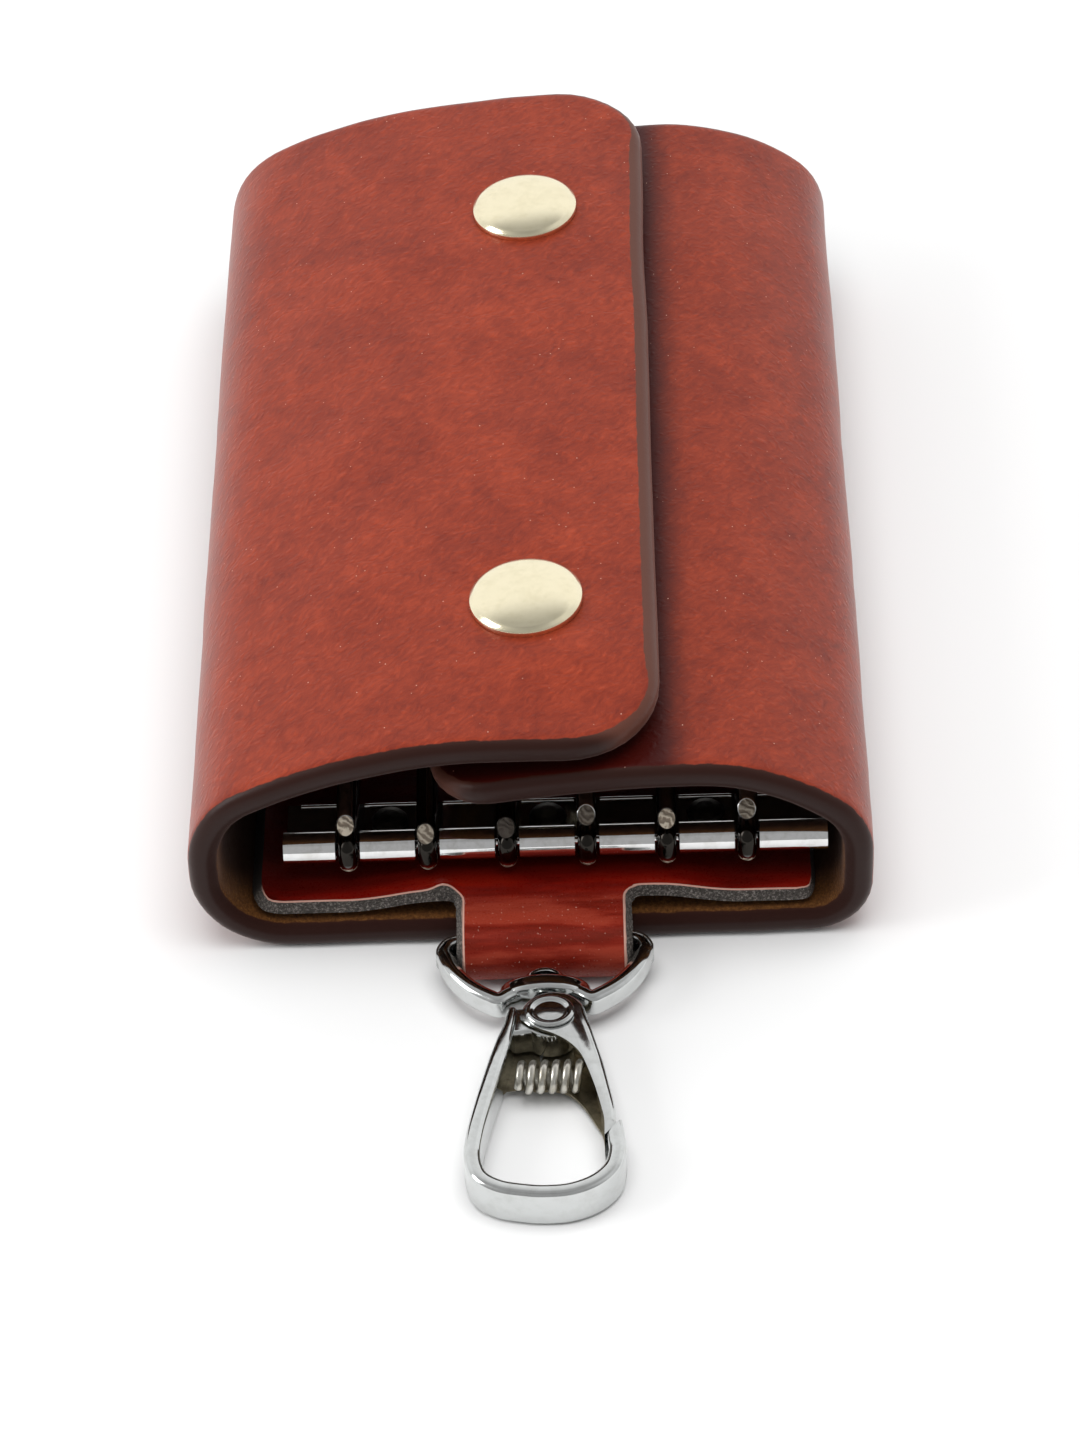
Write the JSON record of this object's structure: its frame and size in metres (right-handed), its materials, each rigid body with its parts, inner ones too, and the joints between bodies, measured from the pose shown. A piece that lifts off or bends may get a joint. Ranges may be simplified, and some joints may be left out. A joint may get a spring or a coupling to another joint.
{
  "type": "leather key case",
  "caption": "Folding leather key case, closed by two snaps, with swinging key hooks on a barrel plate and a swivel snap hook on a strap.",
  "frame": {"origin": "middle of the case's flat back, on its underside, which is the face that it lies on", "axes": "+Z out of the front of the closed case, +Y from the clasp end to the far end, +X to the right as seen from the clasp end"},
  "size_m": [0.0684, 0.1486, 0.0293],
  "materials": {
    "shell_leather": "waxed full-grain, soft sheen",
    "liner_leather": "glossy",
    "plated_steel": "bright plated",
    "nickel": "polished warm nickel",
    "chrome": "polished"
  },
  "bodies": {
    "case_back": {"back_panel": "shell_leather", "inner_liner": "liner_leather", "key_plate": "plated_steel", "hook_rod": "plated_steel", "plate_rivet_1": "plated_steel", "plate_rivet_2": "plated_steel", "plate_rivet_3": "plated_steel"},
    "left_side": {"left_side_panel": "shell_leather"},
    "front_flap": {"front_flap_panel": "shell_leather", "snap_cap_1": "nickel", "snap_cap_2": "nickel", "snap_socket_1": "nickel", "snap_socket_2": "nickel"},
    "right_side": {"right_side_panel": "shell_leather"},
    "inner_flap": {"inner_flap_panel": "shell_leather", "snap_stud_1": "nickel", "snap_stud_2": "nickel", "snap_post_1": "nickel", "snap_post_2": "nickel"},
    "hook_1": {"key_hook_1": "plated_steel"},
    "hook_2": {"key_hook_2": "plated_steel"},
    "hook_3": {"key_hook_3": "plated_steel"},
    "hook_4": {"key_hook_4": "plated_steel"},
    "hook_5": {"key_hook_5": "plated_steel"},
    "hook_6": {"key_hook_6": "plated_steel"},
    "bail": {"clasp_bail": "chrome"},
    "swivel_hook": {"hook_body": "chrome", "gate_pin": "chrome", "gate_spring": "plated_steel"},
    "gate": {"hook_gate": "chrome"}
  },
  "joints": [
    {"name": "left_side_fold", "type": "hinge", "parent": "case_back", "child": "left_side", "pos_m": [-0.03152, 0, 0.00278], "axis": [0, -1, 0], "range_deg": [0, 85]},
    {"name": "front_flap_fold", "type": "hinge", "parent": "left_side", "child": "front_flap", "pos_m": [-0.03076, 0, 0.01945], "axis": [0, -1, 0], "range_deg": [0, 85]},
    {"name": "right_side_fold", "type": "hinge", "parent": "case_back", "child": "right_side", "pos_m": [0.0322, 0, 0.0019], "axis": [0, 1, 0], "range_deg": [0, 60]},
    {"name": "inner_flap_fold", "type": "hinge", "parent": "right_side", "child": "inner_flap", "pos_m": [0.03146, 0, 0.01716], "axis": [0, 1, 0], "range_deg": [0, 60]},
    {"name": "key_hook_1_swing", "type": "hinge", "parent": "case_back", "child": "hook_1", "pos_m": [-0.01845, -0.0502, 0.00955], "axis": [1, 0, 0], "range_deg": [-2, 6]},
    {"name": "key_hook_2_swing", "type": "hinge", "parent": "case_back", "child": "hook_2", "pos_m": [-0.01045, -0.0502, 0.00955], "axis": [1, 0, 0], "range_deg": [-3, 6]},
    {"name": "key_hook_3_swing", "type": "hinge", "parent": "case_back", "child": "hook_3", "pos_m": [-0.00245, -0.0502, 0.00955], "axis": [1, 0, 0], "range_deg": [-2.5, 6]},
    {"name": "key_hook_4_swing", "type": "hinge", "parent": "case_back", "child": "hook_4", "pos_m": [0.00555, -0.0502, 0.00955], "axis": [1, 0, 0], "range_deg": [-0.5, 8]},
    {"name": "key_hook_5_swing", "type": "hinge", "parent": "case_back", "child": "hook_5", "pos_m": [0.01355, -0.0502, 0.00955], "axis": [1, 0, 0], "range_deg": [-2, 8]},
    {"name": "key_hook_6_swing", "type": "hinge", "parent": "case_back", "child": "hook_6", "pos_m": [0.02155, -0.0502, 0.00955], "axis": [1, 0, 0], "range_deg": [-1, 8]},
    {"name": "bail_swing", "type": "hinge", "parent": "case_back", "child": "bail", "pos_m": [0.00105, -0.05875, 0.0033], "axis": [-1, 0, 0], "range_deg": [-75, 75]},
    {"name": "hook_swivel", "type": "hinge", "parent": "bail", "child": "swivel_hook", "pos_m": [0.00105, -0.06445, 0.00313], "axis": [0, -0.9995, -0.0301], "continuous": true},
    {"name": "gate_swing", "type": "hinge", "parent": "swivel_hook", "child": "gate", "pos_m": [0.00156, -0.06985, 0.00297], "axis": [0, 0.0301, -0.9995], "range_deg": [0, 20], "stiffness_Nm_per_rad": 0.005, "springref_deg": -20.05, "deforming": ["gate_spring"]}
  ],
  "couplings": [
    {"joint": "front_flap_fold", "follows": "left_side_fold", "ratio": 1},
    {"joint": "right_side_fold", "follows": "left_side_fold", "ratio": 0.7},
    {"joint": "inner_flap_fold", "follows": "left_side_fold", "ratio": 0.7}
  ]
}
